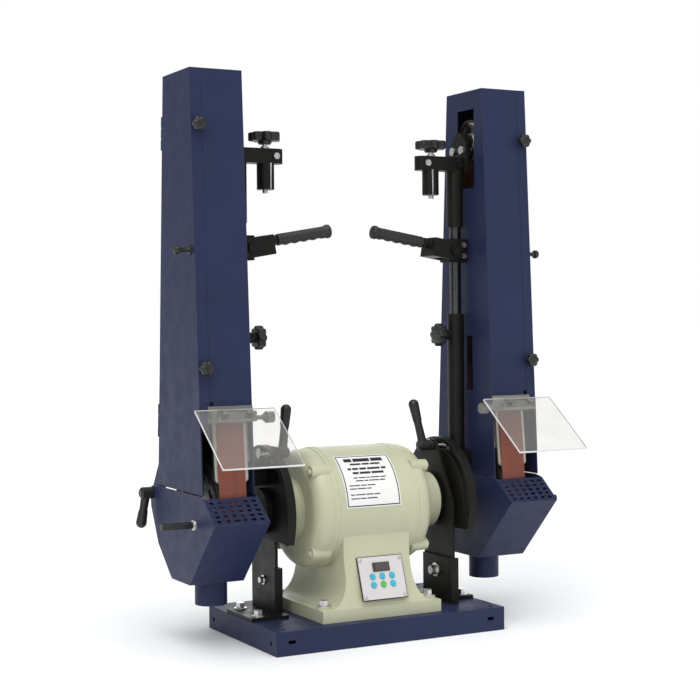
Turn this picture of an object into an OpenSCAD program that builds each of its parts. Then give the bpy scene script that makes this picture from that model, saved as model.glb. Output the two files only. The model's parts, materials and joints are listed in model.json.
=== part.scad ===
// Double-ended belt finishing machine: one motor on a sheet base drives two tall
// abrasive belts, each in its own tilting housing at an end of the motor shaft.
// Origin: centre of the base's underside. X runs along the motor shaft, -Y is the
// operator's side and +Z is up. Every arm piece is drawn for the right-hand arm and
// mirrored across the YZ plane for the left-hand one.

/* [Base] */
// Width of the base, along the motor shaft
base_w = 470; // [450:1:560]
// Depth of the base, front to back
base_d = 298; // [290:1:360]
// Height of the base
base_h = 43; // [36:1:60]
// Thickness of the base sheet
base_sheet = 3; // [2:0.5:4]
// Radius of the bench bolt holes
bench_hole_r = 4.5; // [3:0.25:6]

/* [Motor] */
// Height of the motor shaft above the bench
shaft_z = 235; // [225:1:260]
// Diameter of the motor body
motor_d = 222; // [190:1:230]
// Length of the motor body between its end bells
body_len = 156; // [120:1:170]
// Distance of the motor body's middle from the machine's middle
motor_x = -10; // [-15:1:15]
// Wall of the motor body and end bells
motor_wall = 8; // [5:0.5:12]
// Diameter of the round neck at each end
neck_d = 105; // [80:1:115]
// Diameter of the shaft in the motor
shaft_d = 25; // [20:0.5:28]
// Diameter of the shaft where the contact wheels fit
shaft_end_d = 19; // [16:0.5:20]
// Thickness of the pedestal's foot
foot_t = 22; // [14:1:28]

/* [Belt drive] */
// Width of the abrasive belt
belt_w = 50.8; // [40:0.1:52]
// Thickness of the abrasive belt
belt_t = 1.5; // [1:0.1:2]
// Diameter of the contact wheel
wheel_d = 203.2; // [180:0.1:206]
// Diameter of the idler wheel
idler_d = 76.2; // [60:0.1:80]
// Distance from contact wheel to idler wheel
wheel_gap = 692; // [660:1:700]
// How far the idler sits behind the contact wheel
idler_y = 12; // [6:1:16]

/* [Housing] */
// Overall height of the machine
top_z = 1021; // [1010:1:1080]
// Distance of the housing's inner face from the machine's middle
housing_x = 250; // [246:1:256]
// Width of the housing
housing_w = 99; // [92:1:110]
// Thickness of the housing sheet
sheet = 2; // [1:0.5:2.5]
// Depth of the housing in front of the shaft, at the top
front_top = 59; // [52:1:66]
// Forward slope of the front wall, per unit of height
front_slope = 0.052; // [0.048:0.001:0.056]
// Depth of the housing behind the shaft, at the top
back_top = 67; // [60:1:80]
// Backward slope of the back wall, per unit of height
back_slope = 0.059; // [0.05:0.001:0.07]
// Height of the top of the work opening
window_z = 403; // [390:1:408]
// Radius of the dust outlet
dust_r = 29; // [25:0.5:31]

/* [Column] */
// Radius of the column tube
column_r = 16; // [14:0.5:17]
// Radius of the bright rod in the column
rod_r = 11; // [9:0.5:12]
// Travel of the idler when the belt is released
release = 20; // [10:1:22]

/* [Eye shield] */
// Side of the clear shield
shield_w = 150; // [120:1:160]
// Thickness of the clear shield
shield_t = 4; // [3:0.5:5]

/* [Fits] */
// Radial clearance of turning and sliding fits
fit = 0.06; // [0.03:0.01:0.1]
// Gap between parts that move past each other
gap = 0.5; // [0.3:0.1:0.8]

/* [Hidden] */
$fn = 64;
over = 1;

function front_y(z) = -front_top - (top_z - z) * front_slope;
function back_y(z) = back_top + (top_z - z) * back_slope;
function arc_points(y, z, r, from, to, steps) =
    [for (i = [0:steps]) let (a = from + (to - from) * i / steps) [y + r * cos(a), z + r * sin(a)]];
function yz_angle(p, q) = atan2(q[1] - p[1], q[0] - p[0]);

// Places of the main parts along X, for the right-hand arm.
neck_end = 158;
upright_x = neck_end + 8;
plate_t = 6;
upright_out = upright_x + plate_t;
bracket_in = upright_x - plate_t;
sector_x = upright_out + 8;
sector_t = 10;
boss_end = sector_x + 20;
housing_out = housing_x + housing_w;
belt_x = housing_x + 42;
belt_x0 = belt_x - belt_w / 2;
wheel_r = wheel_d / 2;
idler_r = idler_d / 2;
idler_z = shaft_z + wheel_gap;
wheel_clear = 0.4;
idler_clear = 2;

// Motor body and pedestal.
motor_r = motor_d / 2;
body_x0 = motor_x - body_len / 2;
body_x1 = motor_x + body_len / 2;
bell_len = 44;
lug_r = 11;
lug_at = motor_r - 7;
bearing_r = 26;
bearing_w = 15;
foot_top = base_h + foot_t;
foot_half_w = 122;
foot_front = 125;
foot_back = 115;
neck_half_w = 68;
shoulder_y = 102;
foot_bolt_x = foot_half_w - 14;
foot_bolt_y = 100;
bolt_r = 5;

// Control panel, on the sloping front of the pedestal.
panel_w = 90;
panel_h = 77;
panel_t = 3;
panel_top = [-shoulder_y, 150];
panel_tilt = 19;
button_r = 5.5;
button_pitch = 20;
button_rows = [36, 51];
button_stand = 1.8;

// Arm brackets and swing gear.
boss_r = 30;
shaft_clear = 1.5;
slot_r = 104;
slot_half = 6.5;
clamp_r = 6;
clamp_head_r = 9.5;
sector_r = 119;
sector_cut = 50;
tilt_range = 90;
lever_z = shaft_z + slot_r;
bracket_top = 130;
bracket_bolts = [[211.5, 56], [215, -30]];
front_right = -78;
front_left = -12;
upright_depth = 102;
bracket_depth = 104;
bracket_flange = 16;
bracket_foot = [-44, 68];
cross_bolt_back = 50;
cross_bolt_z = 102;

// Column.
column_x = 230;
column_y = 7;
column_z0 = 290;
column_z1 = 590;
rod_top = 840;
clamp_z = 550;
block_z = [283, 325];
lever_pivot = [214, 712];
collar_z = [690, 735];
sleeve_z0 = collar_z[1] + release + 3;
head_z = [866, 893];
head_x0 = 142;
screw_x = 175;
screw_r = 5;
lever_tilt = 9.5;
pin_r = 6;

// Idler yoke.
yoke_pin = [231, 880];
yoke_pin_r = 5;
yoke_x = 241;
yoke_t = 7;
axle_r = 8;

// Housing details.
housing_z0 = 281;
door_lip = 20;
door_lip_z = 438;
seam_x = housing_out - door_lip;
hinge_x = housing_out - 4;
hinge_off = 5;
hinge_r = 4;
hinge_pin_r = 2.2;
hinge_len = 60;
hinge_z = [400, 920];
back_lean = atan(back_slope);
front_lean = atan(front_slope);

// Dust hood: its side outline starts at the back edge of the grille.
hood_x0 = housing_x - 0.3 - sheet;
hood_w = housing_w + 0.6 + 2 * sheet;
hood_pivot = [136, 265];
hood_pin_r = 5;
grille_back = [-107.5, 276];
grille_front = [-157.5, 237];
hood_low_front = [-42, 119];
hood_low_back = [44, 119];
hood_mid_back = [109, 175];
hood_high_back = [143, 238];
hood_path = [grille_back, grille_front, hood_low_front, hood_low_back, hood_mid_back, hood_high_back];
dust_x = housing_x + 41;
dust_y = 6;
dust_z0 = 74;
grille_hole = 6;
grille_cols = 6;
grille_rows = 5;

// Eye shield: its pivot rod in front of the housing's front wall, and the plate's top edge.
shield_rod_z = 412;
shield_stand_off = 11.332;
shield_rod = [front_y(shield_rod_z) - shield_stand_off, shield_rod_z];
shield_rod_r = 4;
shield_top = [shield_rod[0] - 7, shield_rod[1] + 15];
shield_tilt = 37;

// ---------- shared shapes ----------

// A left-hand copy of a right-hand piece.
module left() { mirror([1, 0, 0]) children(); }

// A round bar along X, from x0 to x1, at the given place in YZ.
module bar_x(x0, x1, y, z, r) {
    translate([x0, y, z]) rotate([0, 90, 0]) cylinder(h = x1 - x0, r = r);
}

// A round bar along Y.
module bar_y(y0, y1, x, z, r) {
    translate([x, y0, z]) rotate([-90, 0, 0]) cylinder(h = y1 - y0, r = r);
}

// A YZ outline made into a plate along X.
module plate_x(x0, x1) {
    translate([x0, 0, 0]) rotate([90, 0, 90]) linear_extrude(x1 - x0) children();
}

// A box from its two corners.
module box(a, b) { translate(a) cube([b[0] - a[0], b[1] - a[1], b[2] - a[2]]); }

// A hexagon bolt head with its washer, along +Z.
module bolt_head(r) {
    cylinder(h = 2, r = 1.5 * r);
    translate([0, 0, 2]) cylinder(h = 1.2 * r, r = 1.8 * r / 2 * 1.15, $fn = 6);
}

// A lobed hand knob along +Z: a hub with grips round its rim.
module lobed_knob(r, h, lobes) {
    cylinder(h = h, r = 0.86 * r);
    for (i = [0:lobes - 1]) rotate(360 * i / lobes) translate([0.74 * r, 0, over]) cylinder(h = h - 2 * over, r = 0.26 * r);
    translate([0, 0, h - over]) cylinder(h = 2.5, r1 = 0.7 * r, r2 = 0.6 * r);
}

// The area inside a belt that runs r1 from the contact wheel's axis and r2 from the idler's.
module belt_area(r1, r2) {
    a = atan2(wheel_gap, idler_y);
    s = acos((r1 - r2) / norm([idler_y, wheel_gap]));
    translate([0, shaft_z]) circle(r = r1, $fn = 128);
    translate([idler_y, idler_z]) circle(r = r2, $fn = 96);
    polygon([
        [r1 * cos(a - s), shaft_z + r1 * sin(a - s)],
        [idler_y + r2 * cos(a - s), idler_z + r2 * sin(a - s)],
        [idler_y + r2 * cos(a + s), idler_z + r2 * sin(a + s)],
        [r1 * cos(a + s), shaft_z + r1 * sin(a + s)]
    ]);
}

// The front run of the belt, as a direction and a point at the contact wheel.
run_in_r = wheel_r + wheel_clear;
run_s = acos((run_in_r - idler_r - idler_clear) / norm([idler_y, wheel_gap]));
run_turn = atan2(wheel_gap, idler_y) + run_s;
run_y0 = run_in_r * cos(run_turn);
run_z0 = shaft_z + run_in_r * sin(run_turn);
run_lean = run_turn - 180;

// ---------- base and motor ----------

module base_plate() color([0.25, 0.26, 0.36]) difference() {
    box([-base_w / 2, -base_d / 2, 0], [base_w / 2, base_d / 2, base_h]);
    box([-base_w / 2 + base_sheet, -base_d / 2 + base_sheet, -over],
        [base_w / 2 - base_sheet, base_d / 2 - base_sheet, base_h - base_sheet]);
    for (sx = [-1, 1], sy = [-1, 1])
        translate([sx * (base_w / 2 - 20), sy * (base_d / 2 - 16), 0]) cylinder(h = base_h + over, r = bench_hole_r);
    for (sx = [-1, 1]) {
        box([sx * (base_w / 2 - 30) - 7, -base_d / 2 - over, base_h / 2 - 1],
            [sx * (base_w / 2 - 30) + 7, -base_d / 2 + base_sheet + over, base_h / 2 + 5]);
        for (sy = [-1, 1])
            bar_x(sx > 0 ? base_w / 2 - 10 : -base_w / 2 - over, sx > 0 ? base_w / 2 + over : 10 - base_w / 2,
                sy * (base_d / 2 - 23), base_h / 2 - 2, 4);
        for (p = bracket_bolts) translate([sx * p[0], p[1], 0]) cylinder(h = base_h + over, r = bolt_r + gap);
    }
    foot_bolt_places() cylinder(h = base_h + over, r = bolt_r + gap);
}

module foot_bolt_places() {
    for (sx = [-1, 1], sy = [-1, 1]) translate([motor_x + sx * foot_bolt_x, sy * foot_bolt_y, 0]) children();
}

// Half width of the pedestal, flared by a quarter round to its foot.
module pedestal_front_outline(inset) {
    flare = foot_half_w - 16 - neck_half_w;
    w = neck_half_w - inset;
    z0 = foot_top - (inset > 0 ? foot_t + over : 0);
    right = arc_points(w + flare, foot_top + flare * 1.6, flare, 180, 270, 10);
    polygon(concat(
        [[-w, shaft_z - inset], [w, shaft_z - inset]],
        [for (p = right) [p[0], foot_top + (p[1] - foot_top - flare * 0.6) * 1.6]],
        [[w + flare, z0], [-w - flare, z0]],
        [for (i = [len(right) - 1:-1:0]) [-right[i][0], foot_top + (right[i][1] - foot_top - flare * 0.6) * 1.6]]
    ));
}

module pedestal_side_outline(inset) {
    drop = panel_top[1] - foot_top;
    y_front = shoulder_y - inset;
    z0 = foot_top - (inset > 0 ? foot_t + over : 0);
    polygon([
        [-y_front, shaft_z - inset], [-y_front, panel_top[1]],
        [-y_front - drop * tan(panel_tilt) + 8, foot_top], [-y_front - drop * tan(panel_tilt) + 8, z0],
        [foot_back - 20 - inset, z0], [foot_back - 20 - inset, foot_top + 45],
        [shoulder_y - inset - 14, panel_top[1]], [shoulder_y - inset - 14, shaft_z - inset]
    ]);
}

module pedestal_block(inset) {
    intersection() {
        translate([motor_x, 0, 0]) rotate([90, 0, 0]) translate([0, 0, -250])
            linear_extrude(500) pedestal_front_outline(inset);
        plate_x(-250, 250) pedestal_side_outline(inset);
    }
}

module on_panel() {
    translate([motor_x + 3, panel_top[0], panel_top[1]]) rotate([90 - panel_tilt, 0, 0]) children();
}

module motor_pedestal() color([0.76, 0.76, 0.65]) difference() {
    union() {
        pedestal_block(0);
        box([motor_x - foot_half_w, -foot_front, base_h], [motor_x + foot_half_w, foot_back, foot_top]);
        foot_bolt_places() translate([0, 0, base_h]) cylinder(h = foot_t + 4, r = 14);
    }
    pedestal_block(motor_wall);
    motor_barrel();
    foot_bolt_places() cylinder(h = 200, r = bolt_r + gap);
    on_panel() box([-panel_w / 2 + 5, -panel_h + 5, -40], [panel_w / 2 - 5, -5, 10]);
    on_panel() for (sx = [-1, 1], t = [-2.5, 2.5 - panel_h])
        translate([sx * (panel_w / 2 - 2.5), t, -8]) cylinder(h = 20, r = 1.2);
    bar_y(60, 160, motor_x, 90, 8 + gap);
}

// The outside of the motor body, with a raised band at each end.
module motor_barrel() {
    bar_x(body_x0, body_x1, 0, shaft_z, motor_r);
    for (x = [body_x0, body_x1 - 12]) bar_x(x, x + 12, 0, shaft_z, motor_r + 0.8);
}

module motor_body() color([0.76, 0.76, 0.65]) difference() {
    motor_barrel();
    bar_x(body_x0 - over, body_x1 + over, 0, shaft_z, motor_r - motor_wall);
}

// One end bell: a domed cap with four screw lugs and a round neck, along +Z from its seam.
module end_bell(seam) {
    round_r = 26;
    dome = [for (i = [0:8]) let (a = 90 * i / 8)
        [motor_r - 2 - round_r + round_r * cos(a), bell_len - round_r + round_r * sin(a)]];
    inner = motor_r - motor_wall;
    difference() {
        union() {
            rotate_extrude($fn = 128) polygon(concat(
                [[0, 0], [motor_r, 0], [motor_r, 8], [motor_r - 2, 10]], dome,
                [[neck_d / 2 + 4, bell_len], [neck_d / 2, bell_len + 4], [neck_d / 2, neck_end - seam], [0, neck_end - seam]]
            ));
            for (a = [45:90:315]) rotate(a) translate([lug_at, 0, 6]) {
                cylinder(h = bell_len - 8, r1 = lug_r + 1, r2 = lug_r);
                translate([-lug_r, 0, (bell_len - 8) / 2]) cube([2 * lug_r, 2 * lug_r - 2, bell_len - 8], center = true);
                translate([0, 0, bell_len - 8]) cylinder(h = 5, r = 5, $fn = 6);
            }
        }
        translate([0, 0, -over]) rotate_extrude($fn = 96) polygon([
            [0, 0], [inner, 0], [inner, bell_len - round_r], [inner - 16, bell_len - motor_wall],
            [bearing_r, bell_len - motor_wall], [bearing_r, bell_len - motor_wall + bearing_w + over],
            [0, bell_len - motor_wall + bearing_w + over]
        ]);
        cylinder(h = 400, r = shaft_d / 2 + shaft_clear);
    }
}

module end_bells() color([0.72, 0.72, 0.6]) {
    translate([body_x1, 0, shaft_z]) rotate([0, 90, 0]) end_bell(body_x1);
    translate([body_x0, 0, shaft_z]) rotate([0, -90, 0]) end_bell(-body_x0);
}

rotor_r = 60;
core_len = 90;

module stator() color([0.45, 0.35, 0.25]) difference() {
    bar_x(motor_x - core_len / 2, motor_x + core_len / 2, 0, shaft_z, motor_r - motor_wall);
    bar_x(-200, 200, 0, shaft_z, rotor_r + 1);
    for (a = [0:30:330]) translate([motor_x, 0, shaft_z]) rotate([a, 0, 0])
        box([-core_len, -4, rotor_r - 1], [core_len, 4, rotor_r + 18]);
}

module rotor() color([0.6, 0.6, 0.62]) difference() {
    bar_x(motor_x - core_len / 2, motor_x + core_len / 2, 0, shaft_z, rotor_r);
    bar_x(-200, 200, 0, shaft_z, shaft_d / 2);
}

module motor_shaft() color([0.75, 0.75, 0.77]) {
    bar_x(4 - belt_x0, belt_x0 - 4, 0, shaft_z, shaft_d / 2);
    bar_x(-belt_x0 - belt_w - 18, belt_x0 + belt_w + 18, 0, shaft_z, shaft_end_d / 2);
}

module shaft_bearings() color([0.8, 0.8, 0.82]) for (s = [-1, 1]) {
    x0 = s > 0 ? body_x1 + bell_len - motor_wall : body_x0 - bell_len + motor_wall - bearing_w;
    difference() {
        bar_x(x0, x0 + bearing_w, 0, shaft_z, bearing_r - fit);
        bar_x(x0 - over, x0 + bearing_w + over, 0, shaft_z, shaft_d / 2);
        for (x = [x0 - over, x0 + bearing_w - 1.5]) difference() {
            bar_x(x, x + 2.5, 0, shaft_z, bearing_r - 5);
            bar_x(x - over, x + 3.5, 0, shaft_z, shaft_d / 2 + 4);
        }
    }
}

module contact_hub() {
    difference() {
        union() {
            bar_x(belt_x0 - 4, belt_x0 + belt_w + 4, 0, shaft_z, 24);
            bar_x(belt_x - 9, belt_x + 9, 0, shaft_z, wheel_r - 14);
            difference() {
                bar_x(belt_x0, belt_x0 + belt_w, 0, shaft_z, wheel_r - 14);
                bar_x(belt_x0 - over, belt_x0 + belt_w + over, 0, shaft_z, wheel_r - 24);
            }
        }
        bar_x(belt_x0 - 10, belt_x0 + belt_w + 10, 0, shaft_z, shaft_end_d / 2);
        for (a = [0:60:300]) translate([0, 0, shaft_z]) rotate([a, 0, 0])
            bar_x(belt_x - 20, belt_x + 20, 50, 0, 14);
    }
    difference() {
        translate([belt_x0 + belt_w + 4, 0, shaft_z]) rotate([0, 90, 0]) {
            cylinder(h = 2, r = 18);
            translate([0, 0, 2]) cylinder(h = 11, r = 16, $fn = 6);
        }
        bar_x(belt_x, belt_x + 100, 0, shaft_z, shaft_end_d / 2);
    }
}

module contact_hubs() color([0.7, 0.71, 0.72]) { contact_hub(); left() contact_hub(); }

module contact_tyre() difference() {
    bar_x(belt_x0, belt_x0 + belt_w, 0, shaft_z, wheel_r);
    bar_x(belt_x0 - over, belt_x0 + belt_w + over, 0, shaft_z, wheel_r - 14);
}

module contact_tyres() color([0.12, 0.12, 0.12]) { contact_tyre(); left() contact_tyre(); }

// ---------- control panel ----------

module control_panel() color([0.72, 0.71, 0.7]) on_panel() {
    difference() {
        union() {
            box([-panel_w / 2, -panel_h, 0], [panel_w / 2, 0, panel_t]);
            box([-17, -27, panel_t], [17, -11, panel_t + 1.2]);
        }
        for (i = [-1:1], t = button_rows) translate([i * button_pitch, -t, -over])
            cylinder(h = panel_t + 2 * over, r = button_r + gap);
        for (sx = [-1, 1], t = [-5, 5 - panel_h]) translate([sx * (panel_w / 2 - 5), t, panel_t - 0.8])
            cylinder(h = 2, r = 3.4);
    }
    for (sx = [-1, 1], t = [-5, 5 - panel_h]) translate([sx * (panel_w / 2 - 5), t, panel_t - 0.8])
        cylinder(h = 1.8, r = 3.2);
}

// One push button, by its column and row, with a collar that keeps it behind the panel.
module button(i, row) {
    on_panel() translate([i * button_pitch, -button_rows[row], 0]) {
        cylinder(h = panel_t + button_stand, r = button_r);
        translate([0, 0, -3]) cylinder(h = 3 - gap, r = button_r + 1.5);
        translate([0, 0, -gap]) cylinder(h = gap, r = button_r);
    }
}

module speed_up_button() color([0.1, 0.6, 0.8]) button(1, 0);
module speed_down_button() color([0.1, 0.6, 0.8]) button(-1, 0);
module set_button() color([0.1, 0.6, 0.8]) button(0, 0);
module forward_button() color([0.1, 0.6, 0.8]) button(-1, 1);
module run_button() color([0.2, 0.7, 0.2]) button(0, 1);
module reverse_button() color([0.1, 0.6, 0.8]) button(1, 1);

gland_y = foot_back - 20;

module cable_gland() color([0.1, 0.1, 0.1]) difference() {
    union() {
        bar_y(gland_y - motor_wall - 6, gland_y + 12, motor_x, 90, 8);
        translate([motor_x, gland_y + 0.2, 90]) rotate([-90, 0, 0]) cylinder(h = 6, r = 13, $fn = 6);
        bar_y(gland_y + 6, gland_y + 20, motor_x, 90, 10);
        translate([motor_x, gland_y - motor_wall - 6, 90]) rotate([-90, 0, 0]) cylinder(h = 5.8, r = 12, $fn = 6);
    }
    bar_y(gland_y - 30, gland_y + 30, motor_x, 90, 4.5);
}

module root_bolts() color([0.72, 0.72, 0.72]) {
    foot_bolt_places() {
        translate([0, 0, foot_top + 4]) bolt_head(8);
        translate([0, 0, base_h - 10]) cylinder(h = foot_t + 15, r = bolt_r);
    }
    for (sx = [-1, 1]) {
        for (p = bracket_bolts) translate([sx * p[0], p[1], base_h + plate_t]) {
            bolt_head(8);
            translate([0, 0, -16]) cylinder(h = 17, r = bolt_r);
        }
        mirror([sx > 0 ? 0 : 1, 0, 0])
            translate([0, (sx > 0 ? front_right : front_left) + cross_bolt_back, cross_bolt_z]) {
                translate([bracket_in, 0, 0]) rotate([0, -90, 0]) bolt_head(9);
                translate([upright_out, 0, 0]) rotate([0, 90, 0]) bolt_head(6);
                bar_x(bracket_in - over, upright_out + over, 0, 0, bolt_r);
            }
    }
}

// Foot bracket, upright plate and the fixed boss that the arm swings on.
// front is the upright's front edge, which the bracket wraps round.
module arm_bracket(front) {
    bracket_front = front - plate_t;
    difference() {
        union() {
            box([bracket_in, bracket_front, base_h], [upright_x, bracket_front + bracket_depth, bracket_top]);
            box([bracket_in, bracket_front, base_h], [bracket_in + bracket_flange, front, bracket_top]);
            box([bracket_in, bracket_foot[0], base_h], [base_w / 2 - 1, bracket_foot[1], base_h + plate_t]);
            plate_x(upright_x, upright_out) polygon(concat(
                [[front, base_h], [front + upright_depth, base_h], [front + upright_depth, shaft_z]],
                arc_points(0, lever_z - 14, 26, 30, 150, 8),
                [[front, shaft_z]]
            ));
            bar_x(neck_end, upright_x, 0, shaft_z, 45);
            bar_x(upright_out, boss_end, 0, shaft_z, boss_r);
            bar_x(upright_out, sector_x - gap, 0, shaft_z, boss_r + 10);
        }
        bar_x(neck_end - over, boss_end + over, 0, shaft_z, shaft_d / 2 + shaft_clear);
        bar_x(upright_x - over, upright_out + over, 0, lever_z, clamp_r + fit);
        bar_x(bracket_in - over, upright_out + over, front + cross_bolt_back, cross_bolt_z, bolt_r + gap);
        for (p = bracket_bolts) translate([p[0], p[1], 0]) cylinder(h = 100, r = bolt_r + gap);
    }
}

module arm_brackets() color([0.13, 0.13, 0.12]) {
    arm_bracket(front_right);
    left() arm_bracket(front_left);
}

// ---------- swing gear ----------

// A point at radius r, turned from straight up towards the front.
function front_of_top(r, a) = [-r * sin(a), r * cos(a)];

// The curved slot for the swing clamp, between two angles from straight up.
module arc_slot(from, to) {
    intersection() {
        difference() {
            circle(r = slot_r + slot_half, $fn = 128);
            circle(r = slot_r - slot_half, $fn = 128);
        }
        polygon(concat([[0, 0]], [for (i = [0:4]) front_of_top(2 * slot_r, from + (to - from) * i / 4)]));
    }
    for (a = [from, to]) translate(front_of_top(slot_r, a)) circle(r = slot_half);
}

module sector_plate() difference() {
    union() {
        plate_x(sector_x, sector_x + sector_t) difference() {
            translate([0, shaft_z]) circle(r = sector_r, $fn = 128);
            translate([-200, shaft_z - sector_cut - 200]) square([400, 200]);
        }
        plate_x(sector_x + sector_t, sector_x + sector_t + 6) difference() {
            translate([0, shaft_z]) circle(r = sector_r, $fn = 128);
            translate([0, shaft_z]) circle(r = slot_r + clamp_head_r + 1, $fn = 128);
            translate([-200, shaft_z - sector_cut - 200]) square([400, 200]);
            translate([10, shaft_z - 200]) square([400, 400]);
        }
        bar_x(sector_x + sector_t - over, boss_end, 0, shaft_z, boss_r + 12);
        box([sector_x + sector_t - over, column_y - 25, block_z[0]],
            [housing_x, column_y + 25, block_z[1]]);
    }
    bar_x(sector_x - over, boss_end + over, 0, shaft_z, boss_r + fit);
    translate([column_x, column_y, block_z[0] + 7]) cylinder(h = 200, r = column_r);
    plate_x(sector_x - over, sector_x + sector_t + 20) translate([0, shaft_z]) arc_slot(-3, tilt_range + 4);
}

module left_sector_plate() color([0.12, 0.12, 0.11]) left() sector_plate();
module right_sector_plate() color([0.12, 0.12, 0.11]) sector_plate();

// A ratchet clamp lever: hub along +Z and a handle that leans out.
module ratchet_lever(hub_h, arm) {
    cylinder(h = hub_h, r = 11);
    translate([0, 0, hub_h]) cylinder(h = 4, r1 = 11, r2 = 7);
    translate([0, 0, hub_h - 8]) rotate([0, 80, 0]) {
        cylinder(h = arm * 0.55, r1 = 8.5, r2 = 7.5);
        translate([0, 0, arm * 0.55]) cylinder(h = arm * 0.4, r1 = 8.5, r2 = 10);
        translate([0, 0, arm * 0.95]) sphere(r = 10);
    }
}

// The swing clamp: its bolt runs through the upright and the sector's slot.
module tilt_lever() {
    bar_x(upright_x - 4, sector_x + sector_t + gap + over, 0, lever_z, clamp_r);
    bar_x(sector_x + sector_t + gap, sector_x + sector_t + gap + 8, 0, lever_z, clamp_head_r);
    bar_x(upright_x - 3, upright_x - gap, 0, lever_z, 10);
    translate([upright_x - 2, 0, lever_z]) rotate([0, -90, 0]) rotate([0, 0, 8]) ratchet_lever(22, 84);
}

module left_tilt_lever() color([0.12, 0.12, 0.11]) left() tilt_lever();
module right_tilt_lever() color([0.12, 0.12, 0.11]) tilt_lever();

// ---------- column and belt tension ----------

module column() {
    difference() {
        union() {
            translate([column_x, column_y, column_z0]) cylinder(h = column_z1 - column_z0, r = column_r);
            bar_x(column_x - column_r - 8, column_x, column_y, clamp_z, 10);
        }
        translate([column_x, column_y, column_z0 + 8]) cylinder(h = 400, r = rod_r + fit);
        bar_x(column_x - column_r - 9, column_x, column_y, clamp_z, 4 + fit);
    }
    difference() {
        translate([column_x, column_y, column_z0 + 60]) cylinder(h = rod_top - column_z0 - 60, r = rod_r);
        bar_x(column_x - rod_r - over, column_x - rod_r + 1.5, column_y, clamp_z, 5);
    }
}

module left_column() color([0.14, 0.14, 0.13]) left() column();
module right_column() color([0.14, 0.14, 0.13]) column();

module column_knob() {
    x0 = column_x - column_r - 8 - gap;
    translate([x0 - 6, column_y, clamp_z]) rotate([0, -90, 0]) lobed_knob(22, 16, 8);
    bar_x(x0 - 7, x0, column_y, clamp_z, 9);
    bar_x(x0 - over, column_x - rod_r - 0.1, column_y, clamp_z, 4);
}

module left_column_knob() color([0.1, 0.1, 0.1]) left() column_knob();
module right_column_knob() color([0.1, 0.1, 0.1]) column_knob();

// The collar clamped on the rod, with the pin that the tension lever turns on.
module lever_collar() {
    difference() {
        union() {
            box([lever_pivot[0] - 8, column_y - 17, collar_z[0]], [column_x + column_r, column_y + 17, collar_z[1]]);
            bar_y(column_y - 27, column_y + 27, lever_pivot[0], lever_pivot[1], pin_r);
            for (dy = [-31, 27]) bar_y(column_y + dy, column_y + dy + 4, lever_pivot[0], lever_pivot[1], 9);
        }
        translate([column_x, column_y, collar_z[0] - over]) cylinder(h = 200, r = rod_r);
    }
    for (dz = [12, 33]) bar_y(column_y - 22, column_y - 17, column_x + 8, collar_z[0] + dz, 5);
}

module left_lever_collar() color([0.12, 0.12, 0.11]) left() lever_collar();
module right_lever_collar() color([0.12, 0.12, 0.11]) lever_collar();

// The lever's own frame: pivot at the origin, handle along +Z.
module lever_frame() {
    translate([lever_pivot[0], column_y, lever_pivot[1]]) rotate([0, lever_tilt - 90, 0]) children();
}

grip_start = 62;
lever_len = 172;

module tension_lever() lever_frame() difference() {
    union() {
        for (s = [-1, 1]) {
            translate([0, s * 22, 0]) box([-18, -3.5, 0], [18, 3.5, 46]);
            translate([0, s * 22 - 3.5, 0]) rotate([-90, 0, 0]) cylinder(h = 7, r = 18);
        }
        box([-18, -25.5, 24], [18, 25.5, 46]);
        translate([6, 0, 40]) cylinder(h = lever_len - 46, r = 7);
        translate([6, 0, 44]) cylinder(h = 14, r = 10);
    }
    translate([0, -40, 0]) rotate([-90, 0, 0]) cylinder(h = 80, r = pin_r + fit);
}

module left_tension_lever() color([0.13, 0.12, 0.11]) left() tension_lever();
module right_tension_lever() color([0.13, 0.12, 0.11]) tension_lever();

module lever_grip() lever_frame() translate([6, 0, grip_start]) difference() {
    union() {
        cylinder(h = lever_len - grip_start, r = 10.5);
        translate([0, 0, lever_len - grip_start - 8]) cylinder(h = 8, r = 13);
        for (i = [0:3]) translate([-3, 0, 24 + 18 * i]) cylinder(h = 8, r = 11.5);
    }
    translate([0, 0, -over]) cylinder(h = lever_len - grip_start - 5, r = 7);
}

module left_lever_grip() color([0.06, 0.06, 0.06]) left() lever_grip();
module right_lever_grip() color([0.06, 0.06, 0.06]) lever_grip();

// ---------- belt tracking ----------

module tracking_head() {
    half = 15;
    fork_x = yoke_pin[0] - 9;
    difference() {
        union() {
            translate([column_x, column_y, sleeve_z0]) cylinder(h = head_z[0] - sleeve_z0 + over, r = column_r);
            box([head_x0 + half, column_y - half, head_z[0]], [yoke_x - 3, column_y + half, head_z[1]]);
            translate([head_x0 + half, column_y, head_z[0]]) cylinder(h = head_z[1] - head_z[0], r = half);
            translate([screw_x, column_y, head_z[0] - 47]) cylinder(h = 48, r = 16);
            for (s = [-1, 1]) bar_y(column_y + (s > 0 ? half : -half - 4), column_y + (s > 0 ? half + 4 : -half),
                head_x0 + 18, (head_z[0] + head_z[1]) / 2, 6);
        }
        translate([column_x, column_y, sleeve_z0 - over]) cylinder(h = rod_top + release + 4 - sleeve_z0, r = rod_r + fit);
        translate([screw_x, column_y, 0]) cylinder(h = 2000, r = screw_r + fit);
        translate([screw_x, column_y, head_z[0] - 42]) cylinder(h = 44, r = 12);
        box([fork_x, column_y - 8, head_z[0]], [yoke_x, column_y + 8, head_z[1] + over]);
    }
    bar_y(column_y - half - 3, column_y + half + 3, yoke_pin[0], yoke_pin[1], yoke_pin_r);
    for (s = [-1, 1]) bar_y(column_y + (s > 0 ? half : -half - 4), column_y + (s > 0 ? half + 4 : -half),
        yoke_pin[0], yoke_pin[1], 8);
}

module left_tracking_head() color([0.14, 0.14, 0.13]) left() tracking_head();
module right_tracking_head() color([0.14, 0.14, 0.13]) tracking_head();

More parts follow.
